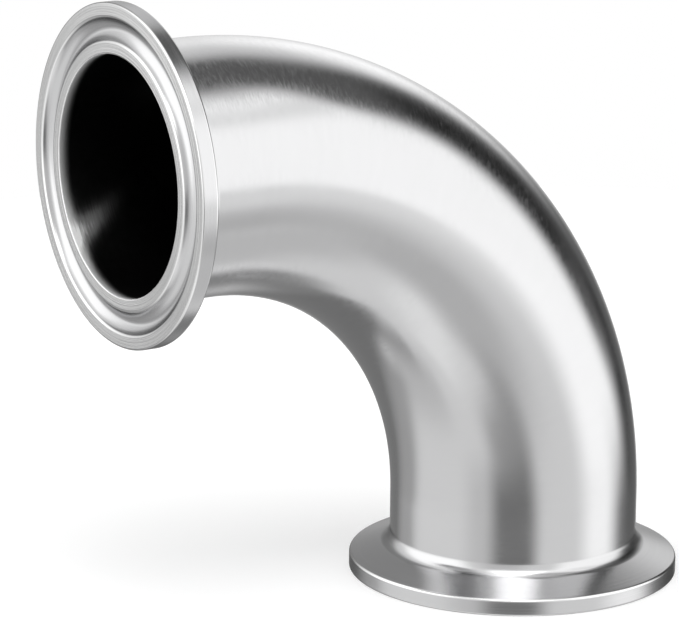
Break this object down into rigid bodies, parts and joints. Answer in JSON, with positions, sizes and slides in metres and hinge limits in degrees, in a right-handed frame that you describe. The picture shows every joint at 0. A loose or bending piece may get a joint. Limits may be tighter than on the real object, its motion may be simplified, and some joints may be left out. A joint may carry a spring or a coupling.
{
  "type": "sanitary elbow",
  "caption": "Right-angle sanitary tube elbow in polished stainless steel, with a clamp ferrule welded on each end.",
  "frame": {"origin": "centre of the lower ferrule's face", "axes": "+Z is the lower port's axis, from its face into the elbow. The bend turns towards -X, so the upper port faces -X. The part is symmetric about the plane of X and Z."},
  "size_m": [0.0948, 0.0506, 0.0948],
  "materials": {
    "polished_steel": "polished outside with fine brush lines round the tube",
    "turned_steel": "fine turned finish, with rings about the port's axis"
  },
  "bodies": {
    "root": {"elbow_bend": "polished_steel", "lower_ferrule": "turned_steel", "upper_ferrule": "turned_steel"}
  },
  "joints": []
}
